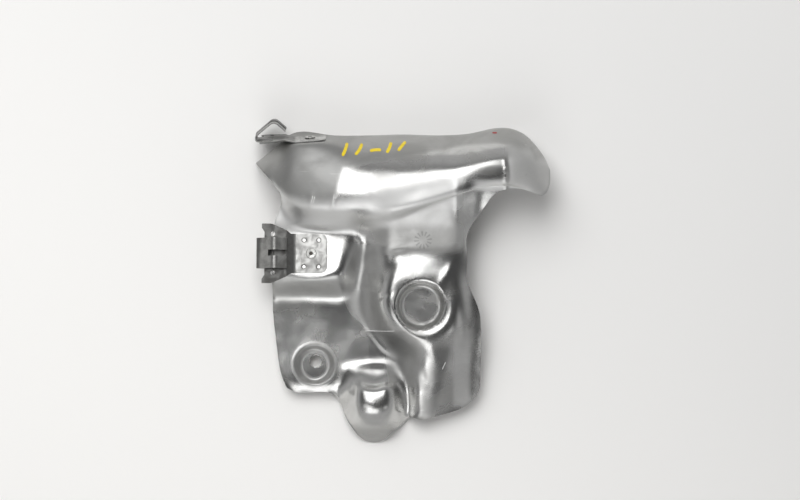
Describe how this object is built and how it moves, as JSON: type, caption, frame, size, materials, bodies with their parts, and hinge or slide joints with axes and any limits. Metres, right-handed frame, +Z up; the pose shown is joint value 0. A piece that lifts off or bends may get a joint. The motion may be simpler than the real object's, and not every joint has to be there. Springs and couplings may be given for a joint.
{
  "type": "exhaust heat shield",
  "caption": "Pressed sheet-steel exhaust heat shield: a bent trough, stepped body, spout and dished bolt hole, with riveted spring clips at its left edge.",
  "frame": {"origin": "on the surface that the shield lies on, under the middle of its bounding box", "axes": "+Y from the spout to the trough's back wall, +Z up, out of the pressed side; X along the trough"},
  "size_m": [0.2216, 0.2452, 0.0572],
  "materials": {
    "sheet": "satin",
    "clip": "satin",
    "rivet": "satin"
  },
  "bodies": {
    "root": {"shield_panel": "sheet", "side_clip": "clip", "side_clip_rivet": "rivet", "upper_clip": "clip", "upper_clip_rivet": "rivet"}
  },
  "joints": []
}
